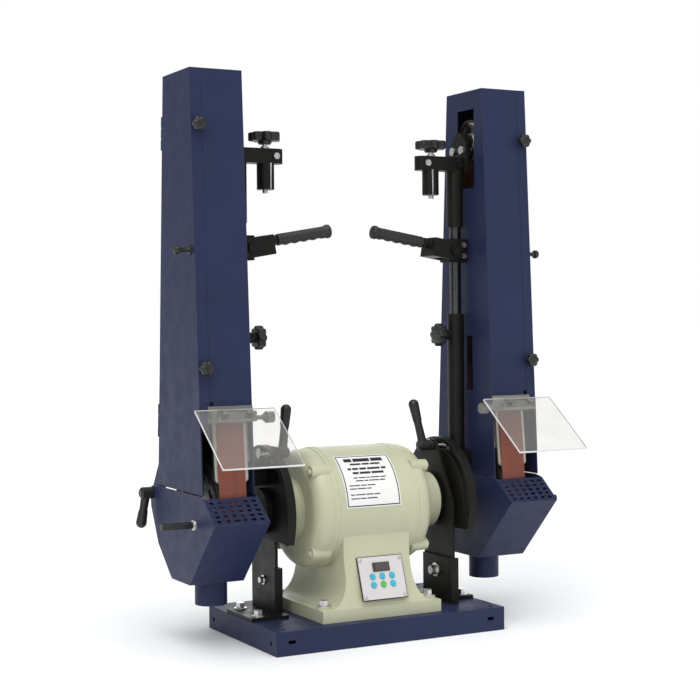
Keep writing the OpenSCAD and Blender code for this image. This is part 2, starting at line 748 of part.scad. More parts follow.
module tracking_knob() translate([screw_x, column_y, 0]) {
    translate([0, 0, head_z[0] - 54]) cylinder(h = head_z[1] + 14 - head_z[0] + 54, r = screw_r);
    translate([0, 0, head_z[1] + gap]) cylinder(h = 4, r = 8);
    translate([0, 0, head_z[1] + 8]) cylinder(h = 7, r1 = 11, r2 = 14);
    translate([0, 0, head_z[1] + 14]) lobed_knob(30, 16, 7);
}

module left_tracking_knob() color([0.1, 0.1, 0.1]) left() tracking_knob();
module right_tracking_knob() color([0.1, 0.1, 0.1]) tracking_knob();

// The tilting yoke: a tongue in the head's fork, a plate and the idler's axle.
module idler_yoke() {
    x1 = yoke_x + yoke_t;
    difference() {
        union() {
            box([yoke_pin[0] - 8, column_y - 8 + gap, head_z[0] + 3], [yoke_x + over, column_y + 8 - gap, head_z[1] - 1]);
            plate_x(yoke_x, x1) polygon(concat(
                [[-16, head_z[0] + 3], [40, head_z[0] + 3], [40, head_z[1] + 26]],
                arc_points(idler_y, idler_z, 15, 30, 150, 8),
                [[-16, head_z[1] + 26]]
            ));
            for (y = [-4, 28]) bar_x(yoke_x - 5, yoke_x + over, y, head_z[1] + 14, 8);
        }
        bar_y(column_y - 20, column_y + 20, yoke_pin[0], yoke_pin[1], yoke_pin_r + fit);
    }
    bar_x(yoke_x, belt_x0 + belt_w + 8, idler_y, idler_z, axle_r);
    bar_x(x1 - over, belt_x0 - gap, idler_y, idler_z, axle_r + 4);
    bar_x(belt_x0 + belt_w + gap, belt_x0 + belt_w + 5, idler_y, idler_z, 13);
}

module left_idler_yoke() color([0.12, 0.12, 0.11]) left() idler_yoke();
module right_idler_yoke() color([0.12, 0.12, 0.11]) idler_yoke();

module idler_wheel() difference() {
    bar_x(belt_x0, belt_x0 + belt_w, idler_y, idler_z, idler_r);
    bar_x(belt_x0 - over, belt_x0 + belt_w + over, idler_y, idler_z, axle_r + fit);
    for (x = [belt_x0 - over, belt_x0 + belt_w - 6]) difference() {
        bar_x(x, x + 7, idler_y, idler_z, idler_r - 6);
        bar_x(x - over, x + 8, idler_y, idler_z, 16);
    }
}

module left_idler_wheel() color([0.7, 0.7, 0.7]) left() idler_wheel();
module right_idler_wheel() color([0.7, 0.7, 0.7]) idler_wheel();

module belt() plate_x(belt_x0, belt_x0 + belt_w) difference() {
    belt_area(wheel_r + wheel_clear + belt_t, idler_r + idler_clear + belt_t);
    belt_area(wheel_r + wheel_clear, idler_r + idler_clear);
}

module left_belt() color([0.42, 0.22, 0.17]) left() belt();
module right_belt() color([0.42, 0.22, 0.17]) belt();

platen_side = 6;
platen_t = 7;
platen_z = [300, 560];

// The platen lies just behind the belt's front run and hangs from the housing's inner wall.
module platen() {
    len_run = platen_z[1] - run_z0;
    difference() {
        translate([0, run_y0, run_z0]) rotate([run_lean, 0, 0])
            box([belt_x0 - platen_side, 0.4, platen_z[0] - run_z0], [belt_x0 + belt_w + platen_side, platen_t + 0.4, len_run]);
        translate([0, run_y0, run_z0]) rotate([run_lean, 0, 0]) for (s = [-1, 1])
            translate([belt_x + s * (belt_w / 2 + platen_side), 0, platen_z[0] - run_z0]) rotate([0, 45, 0])
                cube([9, 60, 9], center = true);
    }
    translate([0, run_y0, run_z0]) rotate([run_lean, 0, 0]) {
        box([housing_x + sheet + 6, platen_t + 0.3, 90], [belt_x0 + 14, platen_t + 4.4, len_run - 20]);
        box([housing_x + sheet + 2, platen_t + 0.3, 90], [housing_x + sheet + 7, platen_t + 40, len_run - 20]);
    }
    for (z = [platen_z[0] + 90, platen_z[1] - 60]) bar_x(housing_x + sheet, housing_x + sheet + 3, -52, z, 8);
}

module left_platen() color([0.62, 0.6, 0.55]) left() platen();
module right_platen() color([0.62, 0.6, 0.55]) platen();

// ---------- belt housing ----------

module housing_outline(inset) {
    polygon([
        [front_y(top_z) + inset, top_z - inset], [back_y(top_z) - inset, top_z - inset],
        [back_y(housing_z0) - inset, housing_z0 - (inset > 0 ? over : 0)],
        [front_y(housing_z0) + inset, housing_z0 - (inset > 0 ? over : 0)]
    ]);
}

// A hinge frame: the origin on the door's hinge line at height z, its axis along +Z.
module on_hinge(z) {
    translate([hinge_x, back_y(z) + hinge_off, z]) rotate([back_lean, 0, 0]) children();
}

knuckle = hinge_len / 3;

module housing() {
    door_gap = gap;
    difference() {
        plate_x(housing_x, housing_out - sheet - door_gap) housing_outline(0);
        plate_x(housing_x + sheet, housing_out + over) housing_outline(sheet);
        box([seam_x - door_gap, -200, door_lip_z - door_gap], [housing_out + over, 0, top_z + over]);
        box([seam_x - door_gap, -200, top_z - sheet - door_gap], [housing_out + over, 200, top_z + over]);
        box([housing_x + sheet, -200, 0], [housing_out + over, front_y(window_z) + 40, window_z]);
        box([housing_x - over, -31, 833], [housing_x + sheet + over, 28, 985]);
        box([housing_x - over, -22, 442], [housing_x + sheet + over, 0, 548]);
        box([seam_x - 6, -200, door_lip_z - 12], [seam_x, front_y(door_lip_z) + 15, door_lip_z + 4]);
    }
    hood_tab(housing_x, housing_x + sheet, false);
    hood_tab(housing_out - 2 * sheet - door_gap, housing_out - sheet - door_gap, true);
    for (z = hinge_z) on_hinge(z) difference() {
        union() {
            for (k = [-1, 1]) translate([0, 0, k * knuckle - knuckle / 2 + (k > 0 ? gap : 0)])
                cylinder(h = knuckle - gap, r = hinge_r);
            for (k = [-1, 1]) translate([0, 0, k * knuckle - knuckle / 2 + (k > 0 ? gap : 0)])
                box([-14, -hinge_off, 0], [0, -hinge_off + 2, knuckle - gap]);
            for (k = [-1, 1]) translate([0, 0, k * knuckle - knuckle / 2 + (k > 0 ? gap : 0)])
                box([-hinge_r, -hinge_off, 0], [-hinge_r + 2, 0, knuckle - gap]);
            cylinder(h = hinge_len, r = hinge_pin_r, center = true);
        }
    }
}

// The tab that holds the dust hood's pivot, at the housing's lower back corner.
module hood_tab(x0, x1, hole) difference() {
    union() {
        plate_x(x0, x1) polygon([
            [back_y(housing_z0 + 50) - sheet, housing_z0 + 50], [back_y(housing_z0) - 30, housing_z0],
            [hood_pivot[0] - 8, hood_pivot[1] - 12], [hood_pivot[0] + 8, hood_pivot[1] - 10],
            [hood_pivot[0] + 12, hood_pivot[1]], [hood_pivot[0] + 8, hood_pivot[1] + 12],
            [back_y(housing_z0 + 50), housing_z0 + 50]
        ]);
        if (!hole) bar_x(hood_x0 - 4, x0 + over, hood_pivot[0], hood_pivot[1], hood_pin_r);
    }
    if (hole) bar_x(x0 - over, x1 + over, hood_pivot[0], hood_pivot[1], hood_pin_r + fit);
}

module left_housing() color([0.23, 0.24, 0.34]) left() housing();
module right_housing() color([0.23, 0.24, 0.34]) housing();

// The door: the housing's outer wall with lips round the front and the top.
module door() {
    z0 = housing_z0 + gap;
    difference() {
        plate_x(seam_x, housing_out) housing_outline(0);
        plate_x(seam_x - over, housing_out - sheet) housing_outline(sheet);
        box([0, -300, 0], [500, 300, z0]);
        box([0, -300, 0], [housing_out - sheet, 300, door_lip_z]);
        plate_x(0, housing_out - sheet) polygon([
            [back_y(top_z) - 6, top_z + over], [300, top_z + over], [300, 0], [back_y(0) - 6, 0]
        ]);
        for (z = hinge_z) on_hinge(z) cube([2 * hinge_r + 8, 2 * hinge_r + 2, hinge_len + 2], center = true);
    }
    for (z = hinge_z) on_hinge(z) difference() {
        union() {
            cylinder(h = knuckle - 2 * gap, r = hinge_r, center = true);
            translate([hinge_r - 1, -hinge_off - 3, 0]) cube([2, 2 * hinge_off + 6, knuckle - 2 * gap], center = true);
        }
        cylinder(h = 100, r = hinge_pin_r + fit, center = true);
    }
}

module left_door() color([0.21, 0.27, 0.37]) left() door();
module right_door() color([0.21, 0.27, 0.37]) door();

knob_z = [500, 922];

module door_knobs() {
    for (z = knob_z) translate([seam_x + door_lip / 2 - 1, front_y(z), z]) rotate([90 - front_lean, 0, 0]) {
        cylinder(h = 7, r = 6);
        translate([0, 0, 7]) lobed_knob(13, 11, 6);
    }
    translate([0, front_y(705) + 20, 705]) {
        bar_x(housing_out, housing_out + 24, 0, 0, 4);
        bar_x(housing_out, housing_out + 3, 0, 0, 8);
        bar_x(housing_out + 22, housing_out + 31, 0, 0, 8);
    }
}

module left_door_knobs() color([0.1, 0.1, 0.1]) left() door_knobs();
module right_door_knobs() color([0.1, 0.1, 0.1]) door_knobs();

// ---------- dust hood ----------

module hood_side_outline() {
    polygon(concat(hood_path, [
        [hood_pivot[0] + 12, hood_pivot[1]], [hood_pivot[0] + 8, hood_pivot[1] + 11],
        [hood_pivot[0] - 8, housing_z0 - 1], [grille_back[0] + 20, housing_z0 - 1]
    ]));
}

// The left-hand unit normal of the line from p to q.
function normal(p, q) = [p[1] - q[1], q[0] - p[0]] / norm(q - p);

// The outline t inside the hood's folded strip, mitred at its bends.
function inside_path(path, t) = [for (i = [0:len(path) - 1])
    let (a = i > 0 ? normal(path[i - 1], path[i]) : normal(path[0], path[1]),
         b = i < len(path) - 1 ? normal(path[i], path[i + 1]) : a)
    path[i] + t * (a + b) / (1 + a * b)];

module hood() {
    x1 = hood_x0 + hood_w;
    difference() {
        union() {
            plate_x(hood_x0, x1) hood_side_outline();
            translate([dust_x, dust_y, dust_z0]) cylinder(h = hood_low_front[1] - dust_z0, r = dust_r);
        }
        plate_x(hood_x0 + sheet, x1 - sheet) polygon(concat(inside_path(hood_path, sheet), [
            hood_high_back, [hood_high_back[0] + 60, hood_high_back[1]], [hood_high_back[0] + 60, top_z],
            [grille_back[0], top_z], grille_back
        ]));
        translate([dust_x, dust_y, dust_z0 - over]) cylinder(h = 60, r = dust_r - sheet);
        box([hood_x0 - over, -26, shaft_z - 26], [hood_x0 + sheet + over, 26, 400]);
        grille_holes();
        bar_x(hood_x0 - over, hood_x0 + sheet + over, hood_pivot[0], hood_pivot[1], hood_pin_r + fit);
        bar_x(x1 - sheet - over, x1 + over, hood_pivot[0], hood_pivot[1], hood_pin_r + fit);
    }
    translate([x1 - over, -66, 228]) rotate([0, 90, 0]) {
        cylinder(h = 4, r = 9);
        cylinder(h = 62, r = 6);
    }
}

module grille_holes() {
    len_g = norm([grille_front[0] - grille_back[0], grille_front[1] - grille_back[1]]);
    step_x = (hood_w - 8) / grille_cols;
    step_y = (len_g - 8) / grille_rows;
    translate([0, grille_back[0], grille_back[1]]) rotate([180 + yz_angle(grille_back, grille_front), 0, 0])
        for (i = [0:grille_cols - 1], j = [0:grille_rows - 1])
            translate([hood_x0 + 4 + step_x * (i + 0.5), -4 - step_y * (j + 0.5), 0])
                cube([grille_hole + 2, grille_hole, 12], center = true);
}

module left_hood() color([0.16, 0.2, 0.34]) left() hood();
module right_hood() color([0.16, 0.2, 0.34]) hood();

module hood_lever() {
    x1 = hood_x0 + hood_w;
    translate([x1 + gap, hood_pivot[0], hood_pivot[1]]) rotate([0, 90, 0]) ratchet_lever(20, 58);
    bar_x(housing_out - 2 * sheet - 12, x1 + gap + over, hood_pivot[0], hood_pivot[1], hood_pin_r);
    bar_x(housing_out - 2 * sheet - 12, housing_out - 2 * sheet - 2 * gap, hood_pivot[0], hood_pivot[1], 9);
}

module left_hood_lever() color([0.12, 0.12, 0.11]) left() hood_lever();
module right_hood_lever() color([0.12, 0.12, 0.11]) hood_lever();

// ---------- eye shield ----------

module shield_bracket() {
    y0 = front_y(shield_rod[1]);
    x0 = belt_x - 34;
    x1 = belt_x + 34;
    for (x = [x0 - 8, x1]) box([x, shield_rod[0] - 7, shield_rod[1] - 6], [x + 8, front_y(shield_rod[1] - 6) - 0.1, shield_rod[1] + 12]);
    translate([0, y0, shield_rod[1]]) rotate([-front_lean, 0, 0]) box([x0 - 8, -2.4, -8], [x1 + 8, 0, 22]);
    bar_x(x0 - 30, x1 + 6, shield_rod[0], shield_rod[1], shield_rod_r);
    bar_x(x0 - 42, x0 - 28, shield_rod[0], shield_rod[1], 10);
    bar_x(x0 - 30, x0 - 24, shield_rod[0], shield_rod[1], 7);
}

module left_shield_bracket() color([0.35, 0.36, 0.32]) left() shield_bracket();
module right_shield_bracket() color([0.35, 0.36, 0.32]) shield_bracket();

// The clear plate with the clamp strip and barrel that carry it on the pivot rod.
module eye_shield() {
    strip = 31;
    difference() {
        union() {
            translate([0, shield_top[0], shield_top[1]]) rotate([shield_tilt, 0, 0]) {
                box([belt_x - shield_w / 2, -shield_w, 0], [belt_x + shield_w / 2, 0, shield_t]);
                box([belt_x - strip, -24, -3], [belt_x + strip, -2, 0]);
                for (s = [-1, 1]) translate([belt_x + s * 22, -12, shield_t]) cylinder(h = 3, r = 5);
            }
            bar_x(belt_x - strip, belt_x + strip, shield_rod[0], shield_rod[1], 7);
            box([belt_x - strip, shield_rod[0] - 9, shield_rod[1]], [belt_x + strip, shield_rod[0] - 2, shield_rod[1] + 8]);
        }
        bar_x(belt_x - 100, belt_x + 100, shield_rod[0], shield_rod[1], shield_rod_r + fit);
    }
}

module left_eye_shield() color([0.85, 0.9, 0.92, 0.4]) left() eye_shield();
module right_eye_shield() color([0.85, 0.9, 0.92, 0.4]) eye_shield();

base_plate();
motor_pedestal();
motor_body();
end_bells();
stator();
control_panel();
speed_up_button();
speed_down_button();
set_button();
forward_button();
run_button();
reverse_button();
cable_gland();
root_bolts();
arm_brackets();
motor_shaft();
rotor();
shaft_bearings();
contact_hubs();
contact_tyres();
left_housing();
left_door();
left_door_knobs();
left_hood();
left_hood_lever();
left_sector_plate();
left_tilt_lever();
left_column();
left_column_knob();
left_lever_collar();
left_tension_lever();
left_lever_grip();
left_tracking_head();
left_tracking_knob();
left_idler_yoke();
left_idler_wheel();
left_belt();
left_platen();
left_shield_bracket();
left_eye_shield();
right_housing();
right_door();
right_door_knobs();
right_hood();
right_hood_lever();
right_sector_plate();
right_tilt_lever();
right_column();
right_column_knob();
right_lever_collar();
right_tension_lever();
right_lever_grip();
right_tracking_head();
right_tracking_knob();
right_idler_yoke();
right_idler_wheel();
right_belt();
right_platen();
right_shield_bracket();
right_eye_shield();
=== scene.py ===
"""Looks for a double-ended belt finishing machine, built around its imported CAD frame."""
import json
import math

import bmesh
import bpy
from mathutils import Matrix, Vector


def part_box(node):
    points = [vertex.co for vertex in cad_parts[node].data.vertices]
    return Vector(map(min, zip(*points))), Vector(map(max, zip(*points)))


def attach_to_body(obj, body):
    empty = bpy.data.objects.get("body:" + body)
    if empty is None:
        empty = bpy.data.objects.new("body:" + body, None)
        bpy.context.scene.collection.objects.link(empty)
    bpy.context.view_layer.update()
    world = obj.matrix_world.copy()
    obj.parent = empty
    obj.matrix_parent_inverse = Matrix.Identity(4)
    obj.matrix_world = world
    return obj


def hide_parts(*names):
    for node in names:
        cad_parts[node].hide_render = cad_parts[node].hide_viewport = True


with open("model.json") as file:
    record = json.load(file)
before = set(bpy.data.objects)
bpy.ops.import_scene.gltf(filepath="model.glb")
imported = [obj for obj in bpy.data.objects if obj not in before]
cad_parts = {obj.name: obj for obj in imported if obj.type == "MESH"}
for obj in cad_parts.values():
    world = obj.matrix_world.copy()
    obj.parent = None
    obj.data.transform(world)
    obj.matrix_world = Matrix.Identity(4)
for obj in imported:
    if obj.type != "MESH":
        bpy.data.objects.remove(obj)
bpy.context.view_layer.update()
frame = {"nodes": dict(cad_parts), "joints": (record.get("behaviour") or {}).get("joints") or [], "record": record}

NODES = frame["nodes"]
RECORD = frame["record"]
BODY_OF = {n: b for b, ns in RECORD["behaviour"]["bodies"].items() for n in ns}
SLOT_OF = {s["node"]: s["material_slot"] for s in RECORD["subparts"]}
JOINT = {j["name"]: j for j in frame["joints"]}
SIDES = {"left": -1, "right": 1}
MM = 0.001


# ---------- camera ----------

CAMERA_PLACE = (-1.36697, -2.54874, 0.59301)
CAMERA_YAW, CAMERA_PITCH, CAMERA_ROLL = (math.radians(a) for a in (28.078, 1.362, -0.48))
camera_data = bpy.data.cameras.new("camera")
camera_data.lens = 79.40
camera_data.sensor_width = 36
camera_data.clip_end = 60
camera = bpy.data.objects.new("camera", camera_data)
bpy.context.scene.collection.objects.link(camera)
forward = Vector((math.sin(CAMERA_YAW) * math.cos(CAMERA_PITCH),
                  math.cos(CAMERA_YAW) * math.cos(CAMERA_PITCH), -math.sin(CAMERA_PITCH)))
level = Vector((math.cos(CAMERA_YAW), -math.sin(CAMERA_YAW), 0))
upward = level.cross(forward)
cam_x = math.cos(CAMERA_ROLL) * level + math.sin(CAMERA_ROLL) * upward
cam_y = -math.sin(CAMERA_ROLL) * level + math.cos(CAMERA_ROLL) * upward
camera_turn = Matrix((cam_x, cam_y, -forward)).transposed().to_4x4()
camera.matrix_world = Matrix.Translation(CAMERA_PLACE) @ camera_turn
bpy.context.scene.camera = camera


# ---------- materials ----------

class Paint:
    """A procedural material that is put together node by node, in object coordinates."""

    def __init__(self, name, rough, metallic=0.0, **sockets):
        self.material = bpy.data.materials.new(name)
        self.material.use_nodes = True
        self.tree = self.material.node_tree
        self.shader = self.tree.nodes["Principled BSDF"]
        self.place = self.tree.nodes.new("ShaderNodeTexCoord").outputs["Object"]
        self.shader.inputs["Metallic"].default_value = metallic
        self.shader.inputs["Roughness"].default_value = rough
        for key, value in sockets.items():
            self.shader.inputs[key.replace("_", " ")].default_value = value

    def put(self, socket, value):
        if isinstance(value, bpy.types.NodeSocket):
            self.tree.links.new(value, socket)
        else:
            socket.default_value = value

    def noise(self, scale, detail=4.0, stretch=(1, 1, 1), rough=0.55):
        mapping = self.tree.nodes.new("ShaderNodeMapping")
        mapping.inputs["Scale"].default_value = stretch
        self.put(mapping.inputs["Vector"], self.place)
        node = self.tree.nodes.new("ShaderNodeTexNoise")
        self.put(node.inputs["Vector"], mapping.outputs["Vector"])
        node.inputs["Scale"].default_value = scale
        node.inputs["Detail"].default_value = detail
        node.inputs["Roughness"].default_value = rough
        return node.outputs["Fac"]

    def spread(self, value, low, high, to_low=0.0, to_high=1.0):
        node = self.tree.nodes.new("ShaderNodeMapRange")
        for key, amount in (("Value", value), ("From Min", low), ("From Max", high),
                            ("To Min", to_low), ("To Max", to_high)):
            self.put(node.inputs[key], amount)
        return node.outputs["Result"]

    def mix(self, factor, a, b):
        node = self.tree.nodes.new("ShaderNodeMix")
        node.data_type = "RGBA"
        self.put(node.inputs[0], factor)
        for socket, value in ((node.inputs[6], a), (node.inputs[7], b)):
            self.put(socket, value if isinstance(value, bpy.types.NodeSocket) else (*value, 1.0))
        return node.outputs[2]

    def maths(self, operation, a, b=0.0):
        node = self.tree.nodes.new("ShaderNodeMath")
        node.operation = operation
        self.put(node.inputs[0], a)
        self.put(node.inputs[1], b)
        return node.outputs[0]

    def worn(self):
        """How strongly an edge is worn: the faces of the rounded edges, broken up by noise."""
        node = self.tree.nodes.new("ShaderNodeAttribute")
        node.attribute_name = "wear"
        return self.maths("MULTIPLY", node.outputs["Fac"], self.spread(self.noise(90, 6), 0.42, 0.62))

    def bump(self, height, strength, distance):
        node = self.tree.nodes.new("ShaderNodeBump")
        node.inputs["Strength"].default_value = strength
        node.inputs["Distance"].default_value = distance
        self.put(node.inputs["Height"], height)
        before = self.shader.inputs["Normal"].links
        if before:
            self.put(node.inputs["Normal"], before[0].from_socket)
        self.put(self.shader.inputs["Normal"], node.outputs["Normal"])

    def colour(self, value):
        self.put(self.shader.inputs["Base Color"], value)

    def roughness(self, value):
        self.put(self.shader.inputs["Roughness"], value)


def shade(colour, factor):
    return tuple(min(1.0, c * factor) for c in colour)


def coated(name, colour, rough, edge, edge_amount=0.6, peel=(420, 0.25, 0.0002), blotch=7, vary=0.1,
           dust=None, **more):
    """Paint or powder coat: slow colour changes, orange peel, rubbed edges and a little dust.
    peel is the orange peel's scale, strength and depth in metres."""
    p = Paint(name, rough, **more)
    tone = p.mix(p.spread(p.noise(blotch, 5), 0.3, 0.7), shade(colour, 1 - vary), shade(colour, 1 + vary))
    speck = p.spread(p.noise(1600, 2), 0.35, 0.75, 0, 0.35)
    tone = p.mix(speck, tone, shade(colour, 0.8))
    if dust:
        tone = p.mix(p.spread(p.noise(16, 8, rough=0.7), 0.5, 0.8, 0, 0.22), tone, dust)
    tone = p.mix(p.maths("MULTIPLY", p.worn(), edge_amount), tone, edge)
    p.colour(tone)
    p.roughness(p.spread(p.noise(34, 6), 0.3, 0.7, rough - 0.06, rough + 0.08))
    p.bump(p.noise(peel[0], 2), peel[1], peel[2])
    return p.material


def metal(name, colour, rough, stretch=(1, 1, 1), scale=300, vary=0.18, **more):
    """Bare metal with a directional grain, fine scratches and faint stains."""
    p = Paint(name, rough, 1.0, **more)
    grain = p.noise(scale, 3, stretch)
    tone = p.mix(p.spread(grain, 0.3, 0.7), shade(colour, 1 - vary), shade(colour, 1 + vary))
    tone = p.mix(p.spread(p.noise(40, 7), 0.5, 0.75, 0, 0.35), tone, shade(colour, 0.55))
    p.colour(tone)
    p.roughness(p.spread(p.noise(70, 5), 0.3, 0.7, rough - 0.07, rough + 0.12))
    p.bump(grain, 0.18, 0.00008)
    return p.material


def moulded(name, colour, rough, stipple=(1500, 0.2, 0.0001), vary=0.12, **more):
    """Moulded plastic or rubber: fine stipple, faint marks and paler edges.
    stipple is its scale, strength and depth in metres."""
    p = Paint(name, rough, **more)
    tone = p.mix(p.spread(p.noise(50, 6), 0.35, 0.7), shade(colour, 1 - vary), shade(colour, 1 + vary))
    p.colour(p.mix(p.maths("MULTIPLY", p.worn(), 0.4), tone, shade(colour, 2.2)))
    p.roughness(p.spread(p.noise(120, 4), 0.3, 0.7, rough - 0.08, rough + 0.08))
    p.bump(p.noise(stipple[0], 2), stipple[1], stipple[2])
    return p.material


def abrasive():
    """Grit on cloth: grains, glaze streaks along the run and dark loaded patches."""
    p = Paint("abrasive_grit", 0.9)
    grit = p.noise(2600, 3)
    tone = p.mix(p.spread(grit, 0.3, 0.7), (0.10, 0.026, 0.017), (0.33, 0.105, 0.072))
    tone = p.mix(p.spread(p.noise(260, 3, (1, 0.02, 0.02)), 0.5, 0.72, 0, 0.45), tone, (0.11, 0.05, 0.042))
    tone = p.mix(p.spread(p.noise(9, 6), 0.5, 0.75, 0, 0.4), tone, (0.14, 0.058, 0.046))
    p.colour(tone)
    p.bump(grit, 0.6, 0.0004)
    return p.material


def weave():
    """The belt's cloth back: two crossed sets of threads."""
    p = Paint("belt_backing", 0.85)
    threads = []
    for direction in ("X", "Z"):
        wave = p.tree.nodes.new("ShaderNodeTexWave")
        wave.bands_direction = direction
        wave.inputs["Scale"].default_value = 420
        wave.inputs["Distortion"].default_value = 0.6
        p.put(wave.inputs["Vector"], p.place)
        threads.append(wave.outputs["Fac"])
    cloth = p.maths("MULTIPLY", *threads)
    p.colour(p.mix(cloth, (0.16, 0.085, 0.045), (0.36, 0.23, 0.14)))
    p.bump(cloth, 0.5, 0.0003)
    return p.material


def acrylic():
    """Clear acrylic with a faint white haze and fine rubbed marks."""
    p = Paint("clear_acrylic", 0.08, Transmission_Weight=0.92, IOR=1.2, Specular_IOR_Level=0.5)
    p.colour(p.mix(p.spread(p.noise(30, 6), 0.4, 0.7), (0.87, 0.858, 0.83), (0.82, 0.81, 0.785)))
    p.roughness(p.spread(p.noise(500, 4, (1, 8, 1)), 0.55, 0.8, 0.03, 0.14))
    return p.material


def frosted_edge_painted_glow():
    """The plate's cut edges: frosted pale acrylic, with a faint emission that is a painted glow."""
    # The emission strength paints a glow on the edges; the frosted colour is their own.
    p = Paint("acrylic_edge_painted_glow", 0.4, Transmission_Weight=0.15, Emission_Color=(0.9, 0.93, 0.93, 1),
              Emission_Strength=0.08)
    p.colour(p.mix(p.spread(p.noise(300, 4), 0.35, 0.7), (0.85, 0.86, 0.86), (0.68, 0.70, 0.70)))
    return p.material


BLUE = (0.018, 0.024, 0.068)
CREAM = (0.49, 0.50, 0.345)
# One look for each of the record's material slots
LOOK = {
    "blue_sheet": coated("blue_powder_coat", BLUE, rough=0.46, edge=(0.09, 0.11, 0.20),
                         dust=(0.03, 0.037, 0.085), Specular_IOR_Level=0.22),
    "cream_casting": coated("cream_paint", CREAM, rough=0.45, edge=(0.66, 0.66, 0.5), edge_amount=0.5,
                            peel=(170, 0.35, 0.0006), blotch=12, vary=0.05, dust=(0.42, 0.40, 0.27),
                            Coat_Weight=0.15, Coat_Roughness=0.3),
    "winding_iron": metal("varnished_iron", (0.35, 0.3, 0.25), rough=0.5),
    "rotor_iron": metal("machined_iron", (0.4, 0.4, 0.42), rough=0.4),
    "panel_aluminium": coated("printed_panel", (0.60, 0.575, 0.575), rough=0.38, edge=(0.75, 0.75, 0.75),
                              edge_amount=0.7, peel=(900, 0.08, 0.0001), blotch=25, vary=0.04),
    "blue_button": moulded("blue_button", (0.02, 0.40, 0.55), rough=0.35, Coat_Weight=0.3),
    "green_button": moulded("green_button", (0.07, 0.42, 0.06), rough=0.35, Coat_Weight=0.3),
    "black_plastic": moulded("black_plastic", (0.011, 0.011, 0.011), rough=0.4),
    "bright_steel": metal("zinc_steel", (0.66, 0.66, 0.66), rough=0.3),
    "black_steel": coated("black_enamel", (0.0085, 0.008, 0.007), rough=0.4, edge=(0.06, 0.06, 0.055),
                          edge_amount=0.5, peel=(600, 0.2, 0.00015), blotch=20, vary=0.2,
                          dust=(0.018, 0.017, 0.015), Specular_IOR_Level=0.18),
    "wheel_aluminium": metal("turned_aluminium", (0.62, 0.62, 0.62), rough=0.28, stretch=(0.05, 1, 1),
                             scale=600),
    "wheel_rubber": moulded("tyre_rubber", (0.02, 0.02, 0.02), rough=0.75, stipple=(700, 0.4, 0.0003)),
    "grip_rubber": moulded("grip_rubber", (0.014, 0.014, 0.014), rough=0.55, stipple=(1100, 0.35, 0.0002)),
    "abrasive_cloth": abrasive(),
    "platen_steel": metal("platen_steel", (0.50, 0.47, 0.42), rough=0.42, stretch=(1, 1, 0.03), scale=900,
                          vary=0.2),
    "grey_steel": coated("grey_zinc", (0.25, 0.25, 0.22), rough=0.38, edge=(0.5, 0.5, 0.5), edge_amount=0.6,
                         peel=(700, 0.15, 0.0001), blotch=30, vary=0.15, metallic=0.5),
    "clear_acrylic": acrylic(),
}
BACKING = weave()
FROSTED_EDGE_PAINTED_GLOW = frosted_edge_painted_glow()
DARK_ROD = metal("polished_rod", (0.09, 0.09, 0.09), rough=0.22, stretch=(1, 1, 0.05), scale=500)
WHITE_PRINT = coated("white_label", (0.80, 0.80, 0.78), rough=0.35, edge=(0.6, 0.6, 0.6), edge_amount=0.3,
                     peel=(900, 0.05, 0.0001), blotch=40, vary=0.03)
BLACK_PRINT = coated("black_print", (0.012, 0.012, 0.012), rough=0.4, edge=(0.05, 0.05, 0.05),
                     edge_amount=0.2, peel=(900, 0.05, 0.0001), blotch=40, vary=0.1)
DISPLAY = moulded("display_window", (0.012, 0.010, 0.010), rough=0.12, stipple=(900, 0.02, 0.0001),
                  Coat_Weight=0.6)
SEGMENT = moulded("display_segment", (0.16, 0.11, 0.10), rough=0.3)


# ---------- meshes ----------

# How far a rounded copy may reach past its node, in metres, and how much its volume may change
MOST_SPILL = 2e-4
MOST_VOLUME_CHANGE = 0.06


def rounded_normals(obj, angle=50):
    """Smooth faces, with large faces kept flat by weighted normals."""
    obj.data.shade_smooth()
    obj.data.set_sharp_from_angle(angle=math.radians(angle))
    weighted = obj.modifiers.new("weighted", "WEIGHTED_NORMAL")
    weighted.keep_sharp = True
    bake_modifiers(obj)


def bake_modifiers(obj):
    graph = bpy.context.evaluated_depsgraph_get()
    mesh = bpy.data.meshes.new_from_object(obj.evaluated_get(graph))
    obj.modifiers.clear()
    old = obj.data
    obj.data = mesh
    bpy.data.meshes.remove(old)


def make(name, mesh, *materials):
    obj = bpy.data.objects.new(name, mesh)
    bpy.context.scene.collection.objects.link(obj)
    for material in materials:
        mesh.materials.append(material)
    return obj


def attach(obj, body, slot, *replaced):
    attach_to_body(obj, body)
    if replaced:
        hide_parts(*replaced)
    return obj


def box_mm(node):
    """A node's lowest and highest corners at rest, in mm."""
    low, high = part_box(node)
    return Vector(low) * 1000, Vector(high) * 1000


def volume_and_box(mesh):
    """A mesh's volume, lowest and highest corners, and number of edges without two faces."""
    bm = bmesh.new()
    bm.from_mesh(mesh)
    volume = bm.calc_volume()
    low = [min(v.co[i] for v in bm.verts) for i in range(3)]
    high = [max(v.co[i] for v in bm.verts) for i in range(3)]
    open_edges = sum(1 for e in bm.edges if len(e.link_faces) != 2)
    bm.free()
    return volume, low, high, open_edges


